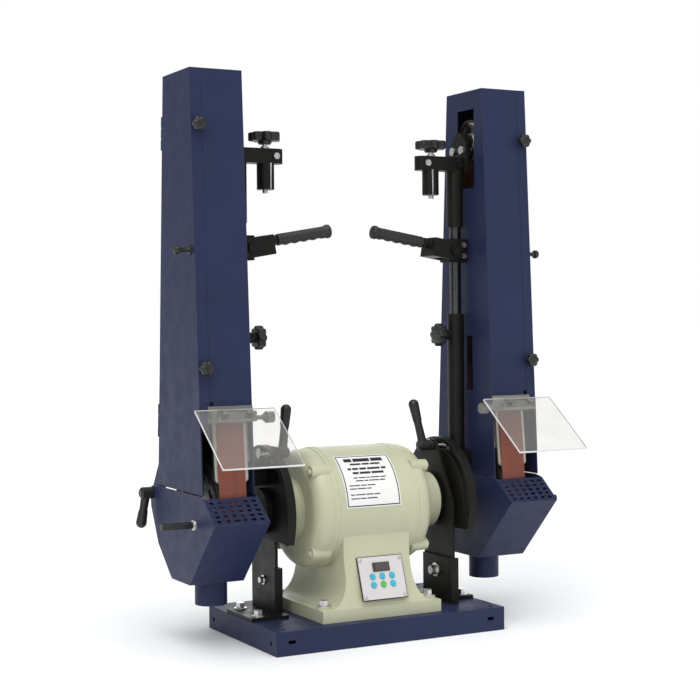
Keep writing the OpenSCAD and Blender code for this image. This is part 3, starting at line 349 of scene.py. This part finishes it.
def refine(node, width=0.6, segments=2, limit=33, paints=()):
    """A copy of a CAD node with rounded edges, which stands for the node. width is in mm, limit in degrees.
    paints is a list of (test of a face's centre in mm, material) for faces with another finish: the last
    test that holds counts. A copy that the rounding spoils is used without it."""
    source = NODES[node]
    clean = bmesh.new()
    clean.from_mesh(source.data)
    bmesh.ops.remove_doubles(clean, verts=clean.verts, dist=3e-6)
    bmesh.ops.dissolve_limit(clean, angle_limit=math.radians(0.5), verts=clean.verts, edges=clean.edges)
    base = bpy.data.meshes.new(node + "_detail")
    clean.to_mesh(base)
    clean.free()
    base.materials.clear()
    # The second material only marks the rounded edges, until they are written down as wear
    obj = make(node + "_detail", base, LOOK[SLOT_OF[node]], BLACK_PRINT)
    volume, low, high, opened = volume_and_box(base)
    kept = base.copy()
    bevel = obj.modifiers.new("bevel", "BEVEL")
    bevel.width = width * MM
    bevel.segments = segments
    bevel.limit_method = "ANGLE"
    bevel.angle_limit = math.radians(limit)
    bevel.material = 1
    bevel.use_clamp_overlap = True
    bake_modifiers(obj)
    new_volume, new_low, new_high, new_opened = volume_and_box(obj.data)
    spill = max(max(low[i] - new_low[i], new_high[i] - high[i]) for i in range(3))
    swollen = abs(new_volume - volume) > MOST_VOLUME_CHANGE * abs(volume)
    if spill > MOST_SPILL or swollen or new_opened > opened:
        print("refine: plain copy of", node, round(spill * 1000, 3), round(new_volume / volume, 3),
              opened, new_opened)
        old = obj.data
        obj.data = kept
        bpy.data.meshes.remove(old)
    else:
        bpy.data.meshes.remove(kept)
    worn = obj.data.attributes.new("wear", "FLOAT", "FACE")
    worn.data.foreach_set("value", [float(p.material_index) for p in obj.data.polygons])
    for p in obj.data.polygons:
        p.material_index = 0
    rounded_normals(obj)
    obj.data.materials.clear()
    obj.data.materials.append(LOOK[SLOT_OF[node]])
    for index, (test, material) in enumerate(paints, 1):
        obj.data.materials.append(material)
        for p in obj.data.polygons:
            if test(p.center * 1000):
                p.material_index = index
    return attach(obj, BODY_OF[node], SLOT_OF[node], node)


def frame_of(origin, axis, side=None):
    """A matrix from mm to metres at origin, with Z along axis and X as near to side as it can be."""
    z = Vector(axis).normalized()
    x = Vector(side or ((1, 0, 0) if abs(z.x) < 0.9 else (0, 1, 0)))
    x = (x - x.dot(z) * z).normalized()
    turn = Matrix((x, z.cross(x), z)).transposed().to_4x4()
    return Matrix.Translation(Vector(origin) * MM) @ turn @ Matrix.Scale(MM, 4)


def lathe(name, profile, matrix, segments, *materials, shape=None, angle=38):
    """A turned solid from (radius, height) points. shape(r, h, turn) may change a point's radius."""
    rings, verts, faces = [], [], []
    for r, h in profile:
        if r == 0:
            rings.append([len(verts)])
            verts.append(Vector((0, 0, h)))
            continue
        ring = []
        for i in range(segments):
            turn = 2 * math.pi * i / segments
            radius = shape(r, h, turn) if shape else r
            ring.append(len(verts))
            verts.append(Vector((radius * math.cos(turn), radius * math.sin(turn), h)))
        rings.append(ring)
    for below, above in zip(rings, rings[1:]):
        for i in range(segments):
            j = (i + 1) % segments
            if len(below) == 1:
                faces.append((below[0], above[j], above[i]))
            elif len(above) == 1:
                faces.append((below[i], below[j], above[0]))
            else:
                faces.append((below[i], below[j], above[j], above[i]))
    mesh = bpy.data.meshes.new(name)
    mesh.from_pydata([matrix @ v for v in verts], [], faces)
    bm = bmesh.new()
    bm.from_mesh(mesh)
    bmesh.ops.recalc_face_normals(bm, faces=bm.faces)
    bm.to_mesh(mesh)
    bm.free()
    mesh.shade_smooth()
    mesh.set_sharp_from_angle(angle=math.radians(angle))
    return make(name, mesh, *materials)


def fillet(r, h, radius, start, steps=4):
    """Points of a quarter round of the given radius about (r, h), from the start angle."""
    return [(r + radius * math.cos(math.radians(start + 90 * i / steps)),
             h + radius * math.sin(math.radians(start + 90 * i / steps))) for i in range(steps + 1)]


def blocks(name, boxes, matrix, material, bevel=0.0):
    """Small boxes (x0, y0, z0, x1, y1, z1) in one mesh, in mm in the matrix's own frame."""
    bm = bmesh.new()
    for x0, y0, z0, x1, y1, z1 in boxes:
        corner = [bm.verts.new((x, y, z)) for z in (z0, z1) for y in (y0, y1) for x in (x0, x1)]
        for f in ((0, 2, 3, 1), (4, 5, 7, 6), (0, 1, 5, 4), (2, 6, 7, 3), (0, 4, 6, 2), (1, 3, 7, 5)):
            bm.faces.new([corner[i] for i in f])
    if bevel:
        bmesh.ops.bevel(bm, geom=bm.edges[:], offset=bevel, segments=2, affect="EDGES", profile=0.5)
    bmesh.ops.transform(bm, matrix=matrix, verts=bm.verts)
    mesh = bpy.data.meshes.new(name)
    bm.to_mesh(mesh)
    bm.free()
    return make(name, mesh, material)


# ---------- pieces ----------

# Places in mm, with x measured outwards from the middle of the machine. s is -1 on the left and 1 on the right
COLUMN_X, COLUMN_Y = 230, 7
BOTTOM_WHEEL_Z = 235
WHEEL_DISTANCE = 692
IDLER_Y = 12
# The front wall of a housing leans forward from its top edge
TOP_FRONT_Y, TOP_Z = -59, 1021
FRONT_SLOPE = 0.052
DOOR_KNOB_HEIGHTS = {"upper": 922, "lower": 500}
DOOR_KNOB_INSET = 11
DOOR_PULL_Z = 705
DOOR_PULL_INSET = 20
HOOD_HANDLE_Y, HOOD_HANDLE_Z = -66, 228
LEVER_PIVOT_X, LEVER_PIVOT_Z = 214, 712
LEVER_TILT = math.radians(9.5)
# The eye shield's clear plate slopes down to the front from its back edge
SHIELD_TILT = math.radians(37)
SHIELD_BACK_EDGE = Vector((0, -109, 427))
SHIELD_X = 292
SHIELD_WIDTH, SHIELD_LENGTH, SHIELD_THICKNESS = 150, 150, 4
NEAR_SURFACE = 0.3


def lobed(count, depth, low, high, least=5.5):
    """A star knob's outline between two heights: round lobes with hollows between them.
    Radii up to least stay round."""
    def shape(r, h, turn):
        if not low <= h <= high or r <= least:
            return r
        return r * (1 - depth * (0.5 - 0.5 * math.cos(count * turn)) ** 1.3)
    return shape


def knob_profile(r, z0, h):
    """A star knob's own turned outline, from its underside to a slightly hollow top."""
    top = z0 + h
    return ([(0.62 * r, z0)]
            + fillet(r - 2.5, z0 + 2.5, 2.5, -90)
            + fillet(r - 3, top - 3, 3, 0)
            + [(0.72 * r, top + 0.4), (0.5 * r, top + 0.9), (0.42 * r, top + 1.3), (0.38 * r, top + 0.6),
               (0, top + 0.6)])


def tracking_knob(side):
    """The star knob on the tracking head, on its screw with a lock nut."""
    node = side + "_tracking_knob"
    low, high = box_mm(node)
    cx, cy = (low.x + high.x) / 2, (low.y + high.y) / 2
    star_z = high.z - 17.5
    screw = [(0, low.z), (4.2, low.z), (5, low.z + 1)]
    lock_nut = [(5, star_z - 14), (8, star_z - 13.6), (8, star_z - 9.6), (5, star_z - 9.4)]
    neck = [(5, star_z - 6), (11, star_z - 6), (14, star_z - 0.4)]
    profile = screw + lock_nut + neck + knob_profile(30, star_z, 16.0)
    obj = lathe(node + "_star", profile, frame_of((cx, cy, 0), (0, 0, 1)), 112,
                LOOK["black_plastic"], LOOK["bright_steel"], shape=lobed(7, 0.24, star_z - 0.1, high.z + 1))
    for p in obj.data.polygons:
        if p.center.z * 1000 < star_z - 6.2:
            p.material_index = 1
    attach(obj, BODY_OF[node], SLOT_OF[node], node)


def column_knob(side, s):
    """The star knob that clamps the rod in its column, seen from inside."""
    node = side + "_column_knob"
    low, high = box_mm(node)
    tip = low.x if s > 0 else high.x
    cy, cz = (low.y + high.y) / 2, (low.z + high.z) / 2
    length = high.x - low.x
    stud = [(0, -length), (3.4, -length), (4, -length + 0.6), (4, -24.2)]
    neck = [(9, -24), (9, -17.5)]
    profile = stud + neck + knob_profile(22, -17.3, 16.0)
    obj = lathe(node + "_star", profile, frame_of((tip, cy, cz), (-s, 0, 0), (0, 0, 1)), 96,
                LOOK["black_plastic"], shape=lobed(8, 0.2, -17.6, 1))
    attach(obj, BODY_OF[node], SLOT_OF[node], node)


def door_knobs(side, s):
    """Two star knobs on the front wall and a pull on the door's outside, which stand for one node."""
    node = side + "_door_knobs"
    door_low, door_high = box_mm(side + "_door")
    out = door_high.x if s > 0 else door_low.x
    normal = Vector((0, -1, FRONT_SLOPE)).normalized()
    knob_x = out - s * DOOR_KNOB_INSET
    replaced = [node]
    for name, z in DOOR_KNOB_HEIGHTS.items():
        y = TOP_FRONT_Y - FRONT_SLOPE * (TOP_Z - z)
        profile = [(0, -0.4), (6, -0.4), (6, 6.6), (7.5, 7)] + knob_profile(13, 7.2, 9.6)
        obj = lathe(f"{side}_door_knob_{name}", profile, frame_of((knob_x, y, z), normal), 72,
                    LOOK["black_plastic"], shape=lobed(6, 0.17, 6.9, 19))
        attach(obj, BODY_OF[node], SLOT_OF[node], *replaced)
        replaced = []
    y = TOP_FRONT_Y - FRONT_SLOPE * (TOP_Z - DOOR_PULL_Z) + DOOR_PULL_INSET
    foot = [(0, -0.3), (8, -0.3)] + fillet(7, 2, 1, 0, 3)
    stem = [(4.4, 3.2), (4, 4), (4, 20), (4.6, 21.4)]
    ball = fillet(5.6, 24.4, 2.6, -60, 5) + fillet(4.6, 27.4, 3.4, 0, 5) + [(0, 30.8)]
    obj = lathe(f"{side}_door_pull", foot + stem + ball, frame_of((out, y, DOOR_PULL_Z), (s, 0, 0)), 48,
                LOOK["black_plastic"])
    attach(obj, BODY_OF[node], SLOT_OF[node])


def lever_grip(side, s):
    """The tension lever's rubber grip, with small ribs above and finger hollows below."""
    node = side + "_lever_grip"
    pivot = Vector((s * LEVER_PIVOT_X, COLUMN_Y, LEVER_PIVOT_Z))
    along = Vector((-s * math.cos(LEVER_TILT), 0, math.sin(LEVER_TILT)))
    over = Vector((s * math.sin(LEVER_TILT), 0, math.cos(LEVER_TILT)))
    start = pivot + 6 * over + 62 * along
    finger_pitch = 19
    rib_pitch = 4
    profile = [(7.05, 0), (9.2, 0)] + fillet(9.5, 1.2, 1.2, -90, 3)
    profile += [(10.6, h) for h in range(4, 98, 2)]
    profile += [(11.2, 99), (12.2, 101), (12.9, 103), (13, 105), (12.8, 107), (12.0, 109)]
    profile += [(10.5, 110), (0, 110)]

    def shape(r, h, turn):
        if not 3 < h < 98:
            return r
        below = max(0.0, -math.cos(turn))
        finger = 0.5 - 0.5 * math.cos(2 * math.pi * (h - 8) / finger_pitch)
        rib = 0.35 * (0.5 + 0.5 * math.cos(2 * math.pi * h / rib_pitch)) * max(0.0, math.cos(turn))
        return r + rib + below * (1.9 * finger - 0.6)

    obj = lathe(node + "_rubber", profile, frame_of(start, along, over), 64, LOOK["grip_rubber"],
                shape=shape, angle=60)
    attach(obj, BODY_OF[node], SLOT_OF[node], node)


def hood(side, s):
    """The dust hood, whose handle is a black bar in a bright washer, and its clamp lever on a bright stud."""
    def near_handle(c, radius):
        return math.hypot(c.y - HOOD_HANDLE_Y, c.z - HOOD_HANDLE_Z) < radius

    refine(side + "_hood", 0.9, paints=[
        (lambda c: s * c.x > 351.6 and near_handle(c, 10), LOOK["bright_steel"]),
        (lambda c: s * c.x > 355.4 and near_handle(c, 6.3), LOOK["black_plastic"])])
    refine(side + "_hood_lever", 0.5, paints=[(lambda c: s * c.x < 352.6, LOOK["bright_steel"])])


def tension_gear(side, s):
    """The column with its bright rod, the lever collar, lever, tracking head, idler yoke and idler wheel."""
    bright = LOOK["bright_steel"]
    refine(side + "_column", 0.5, paints=[
        (lambda c: math.hypot(c.x - s * COLUMN_X, c.y - COLUMN_Y) < 11.6 and c.z > 590.5, DARK_ROD)])
    refine(side + "_lever_collar", 0.7, paints=[
        (lambda c: c.y < -10.6 and s * c.x > 231 and c.z < 730, bright)])
    refine(side + "_tension_lever", 0.7)
    refine(side + "_tracking_head", 0.7, paints=[
        (lambda c: abs(c.y - COLUMN_Y) > 15.2 and s * c.x < 172, bright)])
    refine(side + "_idler_yoke", 0.6, paints=[
        (lambda c: s * c.x < 240.6 and c.z > 897 and min(abs(c.y + 4), abs(c.y - 28)) < 9, bright)])
    refine(side + "_idler_wheel", 0.8)


def eye_shield(side, s):
    """The clear plate with a painted glow on its frosted cut edges, held by grey metalwork."""
    normal = Vector((0, -math.sin(SHIELD_TILT), math.cos(SHIELD_TILT)))
    downhill = Vector((0, -math.cos(SHIELD_TILT), -math.sin(SHIELD_TILT)))

    def from_edge(c, direction):
        return (Vector((0, c.y, c.z)) - SHIELD_BACK_EDGE).dot(direction)

    def in_plate(c):
        return -NEAR_SURFACE <= from_edge(c, normal) <= SHIELD_THICKNESS + NEAR_SURFACE

    def cut(c):
        down = from_edge(c, downhill)
        across = abs(s * c.x - SHIELD_X)
        at_end = down < NEAR_SURFACE or down > SHIELD_LENGTH - NEAR_SURFACE
        return in_plate(c) and (at_end or across > SHIELD_WIDTH / 2 - NEAR_SURFACE)

    # The cut edges are frosted and carry a painted glow from emission.
    refine(side + "_eye_shield", 0.5, paints=[
        (lambda c: not in_plate(c), LOOK["grey_steel"]), (cut, FROSTED_EDGE_PAINTED_GLOW)])


def belt(side):
    """The abrasive belt, whose faces towards the line between its wheels are the cloth back."""
    obj = refine(side + "_belt", 0.15, 1)
    obj.data.materials.append(BACKING)
    for p in obj.data.polygons:
        c = p.center * 1000
        t = min(1.0, max(0.0, (c.z - BOTTOM_WHEEL_Z) / WHEEL_DISTANCE))
        to_line = Vector((0, c.y - IDLER_Y * t, c.z - (BOTTOM_WHEEL_Z + WHEEL_DISTANCE * t)))
        if to_line.dot(p.normal) < -0.2 * to_line.length:
            p.material_index = 1


def arm(side, s):
    """Everything that one tilting arm carries."""
    refine(side + "_housing", 0.9)
    refine(side + "_door", 0.9)
    hood(side, s)
    refine(side + "_sector_plate", 0.7)
    refine(side + "_tilt_lever", 0.5, paints=[(lambda c: s * c.x > 160, LOOK["bright_steel"])])
    tension_gear(side, s)
    refine(side + "_platen", 0.5)
    refine(side + "_shield_bracket", 0.5)
    eye_shield(side, s)
    belt(side)
    tracking_knob(side)
    column_knob(side, s)
    door_knobs(side, s)
    lever_grip(side, s)


LABEL_LEFT, LABEL_RIGHT = -75, 37
# Degrees from straight up, towards the front
LABEL_TOP, LABEL_BOTTOM = 30, 86
# Rows of bars in place of words: distance down, height, gap, start or None if centred, and widths
LABEL_ROWS = [
    (9, 8.5, 3, None, (16, 34, 24)),
    (21.5, 4.2, 2.4, None, (22, 15, 20)),
    (32, 4.6, 2.4, None, (7, 12, 14, 26, 10)),
    (41, 4.6, 2.4, None, (12, 22, 25)),
    (52, 2.2, 1.8, None, (9, 14, 7, 18, 12)),
    (58, 2.2, 1.8, None, (16, 8, 20, 11)),
    (67, 2.0, 1.8, 10, (22, 12, 16)),
    (73, 2.0, 1.8, 10, (14, 18, 9)),
    (84, 2.0, 1.8, 10, (8, 20, 15, 12)),
    (91, 2.0, 1.8, 10, (17, 12, 21)),
]


def label():
    """A plain rating plate on the motor: a white plate with a border and bars in place of words."""
    low, high = box_mm("motor_body")
    radius = (high.z - low.z) / 2 - 0.8
    axis_z = (high.z + low.z) / 2
    width = LABEL_RIGHT - LABEL_LEFT
    height = math.radians(LABEL_BOTTOM - LABEL_TOP) * radius

    def wrapped(name, patches, lift, thick, material):
        """Patches (u0, v0, u1, v1) wrapped round the motor in one mesh: u runs right and v down, in mm."""
        bm = bmesh.new()
        for u0, v0, u1, v1 in patches:
            steps = max(1, round((v1 - v0) / 4))
            grid = []
            for i in range(steps + 1):
                a = math.radians(LABEL_TOP) + (v0 + (v1 - v0) * i / steps) / radius
                for r in (radius + lift, radius + lift + thick):
                    y, z = -r * math.sin(a) * MM, (axis_z + r * math.cos(a)) * MM
                    grid += [bm.verts.new(((LABEL_LEFT + u) * MM, y, z)) for u in (u0, u1)]
            for i in range(steps):
                ring = grid[4 * i:4 * i + 8]
                for f in ((2, 3, 7, 6), (0, 4, 5, 1), (0, 2, 6, 4), (1, 5, 7, 3)):
                    bm.faces.new([ring[k] for k in f])
            bm.faces.new([grid[k] for k in (0, 1, 3, 2)])
            bm.faces.new([grid[-4 + k] for k in (0, 2, 3, 1)])
        bmesh.ops.recalc_face_normals(bm, faces=bm.faces)
        mesh = bpy.data.meshes.new(name)
        bm.to_mesh(mesh)
        bm.free()
        attach(make(name, mesh, material), "frame", "panel_aluminium")

    margin, line = 2, 2.0
    inner = margin + line
    ink = [(margin, margin, width - margin, inner),
           (margin, height - margin - line, width - margin, height - margin),
           (margin, inner, inner, height - margin - line),
           (width - margin - line, inner, width - margin, height - margin - line)]
    for v, tall, gap, start, bars in LABEL_ROWS:
        total = sum(bars) + gap * (len(bars) - 1)
        u = (width - total) / 2 if start is None else start
        for bar in bars:
            ink.append((u, v, u + bar, v + tall))
            u += bar + gap
    wrapped("rating_plate", [(0, 0, width, height)], 0.02, 0.6, WHITE_PRINT)
    wrapped("rating_plate_print", [p for p in ink if p[3] < height], 0.63, 0.08, BLACK_PRINT)


# The panel's middle, and in its own plane u runs right and v runs up, in mm
PANEL_MIDDLE = Vector((-7, -102, 150))
PANEL_SHIFT = 36
BUTTON_RISE = 2.4
# Boxes of the mark on each button
BUTTON_ICONS = {
    "speed_up_button": [(-0.5, -2.2, 0.5, 2.2), (-2.2, -0.5, 2.2, 0.5)],
    "speed_down_button": [(-2.2, -0.5, 2.2, 0.5)],
    "set_button": [(-2, -1.6, 2, -0.8), (-2, 0.8, 2, 1.6)],
    "forward_button": [(-2.0, -0.4, 1.0, 0.4), (0.2, -1.5, 1.0, 1.5), (1.0, -0.8, 1.8, 0.8)],
    "run_button": [(-0.4, -0.4, 0.4, 2.4), (-2, -2, 2, -1.3)],
    "reverse_button": [(-1.0, -0.4, 2.0, 0.4), (-1.0, -1.5, -0.2, 1.5), (-1.8, -0.8, -1.0, 0.8)],
}


def digit_boxes(digits):
    """Boxes of the lit bars of a row of seven-bar digits, in the panel's own plane."""
    lit = {"8": "abcdefg", "0": "abcdef", "1": "bc"}
    left, bottom, pitch = -14.6, 11.4, 7.7
    w, h, t = 5.2, 11.0, 0.9
    bars = {"a": (0, h - t, w, h), "g": (0, h / 2 - t / 2, w, h / 2 + t / 2), "d": (0, 0, w, t),
            "f": (0, h / 2, t, h), "e": (0, 0, t, h / 2), "b": (w - t, h / 2, w, h),
            "c": (w - t, 0, w, h / 2)}
    boxes = []
    for k, digit in enumerate(digits):
        u, v = left + pitch * k, bottom
        boxes += [(u + a, v + b, 4.45, u + c, v + d, 4.6) for a, b, c, d in (bars[bar] for bar in lit[digit])]
    return boxes


def panel():
    """The control panel: a black border under its edges that is painted shade for the shadowed gap round it,
    screws, display with its digits, and buttons with their marks.
    """
    refine("control_panel", 0.5)
    normal = -Vector(JOINT["set_button_press"]["axis"]).normalized()
    up = normal.cross(Vector((-1, 0, 0))).normalized()
    if up.z < 0:
        up = -up
    side = Vector((1, 0, 0))
    at = frame_of(PANEL_MIDDLE - PANEL_SHIFT * up, normal, side)
    # The black border under the panel's edges is painted shade: it stands for the shadowed gap between panel and
    # pedestal.
    shade_border = [(-46.6, -42.6, -0.3, 46.6, -40.9, 2.0), (-46.6, 35.9, -0.3, 46.6, 37.2, 2.0),
              (-46.6, -40.9, -0.3, -44.9, 35.9, 2.0), (44.9, -40.9, -0.3, 46.6, 35.9, 2.0)]
    attach(blocks("panel_shade_border", shade_border, at, LOOK["black_plastic"], 0.2), "frame", "black_plastic")
    screw = [(0, 2.4), (3.1, 2.4), (3.1, 3.9)] + fillet(2.3, 3.9, 0.8, 0, 4)
    screw += [(0.9, 4.72), (0.8, 4.2), (0, 4.1)]
    for i, (u, v) in enumerate(((-40, -36), (40, -36), (-40, 31), (40, 31))):
        obj = lathe(f"panel_screw_{i + 1}", screw, at @ Matrix.Translation((u, v, 0)), 32,
                    LOOK["bright_steel"])
        attach(obj, "frame", "bright_steel")
    window = [(-17.3, 8.7, 2.9, 17.3, 25.3, 4.5)]
    attach(blocks("display_window", window, at, DISPLAY, 0.3), "frame", "black_plastic")
    attach(blocks("display_digits", digit_boxes("1800"), at, SEGMENT), "frame", "black_plastic")
    for button, marks in BUTTON_ICONS.items():
        low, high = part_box(button)
        top = (low + high) / 2 * 1000 + normal * (BUTTON_RISE - 0.02)
        refine(button, 0.5, 3)
        obj = blocks(button + "_icon", [(u0, v0, 0, u1, v1, 0.1) for u0, v0, u1, v1 in marks],
                     frame_of(top, normal, side), WHITE_PRINT)
        attach(obj, BODY_OF[button], SLOT_OF[button])


def motor():
    """The pedestal, motor and end bells, with the rating plate and the control panel."""
    for node, width in (("motor_pedestal", 2.2), ("motor_body", 0.5), ("end_bells", 1.6)):
        refine(node, width, 3)
    label()
    panel()


motor()
refine("base_plate", 1.2, 3)
refine("root_bolts", 0.5)
refine("arm_brackets", 0.7)
refine("cable_gland", 0.5)
refine("contact_tyres", 1.2, 3)
refine("contact_hubs", 0.6)
refine("motor_shaft", 0.6)
for side, s in SIDES.items():
    arm(side, s)
# Pieces inside the motor keep their CAD shape
for name in ("stator", "rotor", "shaft_bearings"):
    NODES[name].data.materials.clear()
    NODES[name].data.materials.append(LOOK[SLOT_OF[name]])


# ---------- stage and light ----------

def stage():
    """A pale floor, and a white surround for the camera with a softer fill for everything else."""
    floor = bpy.data.meshes.new("floor")
    size = 40.0
    corners = [(-size, -size, 0), (size, -size, 0), (size, size, 0), (-size, size, 0)]
    floor.from_pydata(corners, [], [(0, 1, 2, 3)])
    p = Paint("floor_paper", 0.9)
    p.colour(p.mix(p.spread(p.noise(2, 3), 0.3, 0.7), (0.90, 0.90, 0.90), (0.93, 0.93, 0.93)))
    make("floor", floor, p.material)
    world = bpy.data.worlds.new("studio")
    bpy.context.scene.world = world
    world.use_nodes = True
    tree = world.node_tree
    tree.nodes.clear()
    seen, fill = (tree.nodes.new("ShaderNodeBackground") for _ in range(2))
    seen.inputs["Color"].default_value = (1, 1, 1, 1)
    seen.inputs["Strength"].default_value = 1.0
    fill.inputs["Color"].default_value = (0.95, 0.97, 1.0, 1)
    fill.inputs["Strength"].default_value = 0.42
    path = tree.nodes.new("ShaderNodeLightPath")
    mixer = tree.nodes.new("ShaderNodeMixShader")
    out = tree.nodes.new("ShaderNodeOutputWorld")
    tree.links.new(path.outputs["Is Camera Ray"], mixer.inputs[0])
    tree.links.new(fill.outputs[0], mixer.inputs[1])
    tree.links.new(seen.outputs[0], mixer.inputs[2])
    tree.links.new(mixer.outputs[0], out.inputs["Surface"])


def sun(name, towards, strength, softness):
    """A soft directional light that shines along towards. softness is its width in degrees."""
    data = bpy.data.lights.new(name, "SUN")
    data.energy = strength
    data.angle = math.radians(softness)
    obj = bpy.data.objects.new(name, data)
    obj.location = -2 * Vector(towards)
    obj.rotation_euler = Vector(towards).to_track_quat("-Z", "Y").to_euler()
    bpy.context.scene.collection.objects.link(obj)


stage()
sun("overhead", (0.15, 0.35, -1), 2.1, 50)
sun("front_left", (1, 0.9, -0.75), 0.75, 35)
sun("front_right", (-1, 0.8, -0.55), 0.25, 40)
sun("rear", (-0.4, -1, -0.4), 0.5, 40)
bpy.context.scene.view_settings.view_transform = "Standard"

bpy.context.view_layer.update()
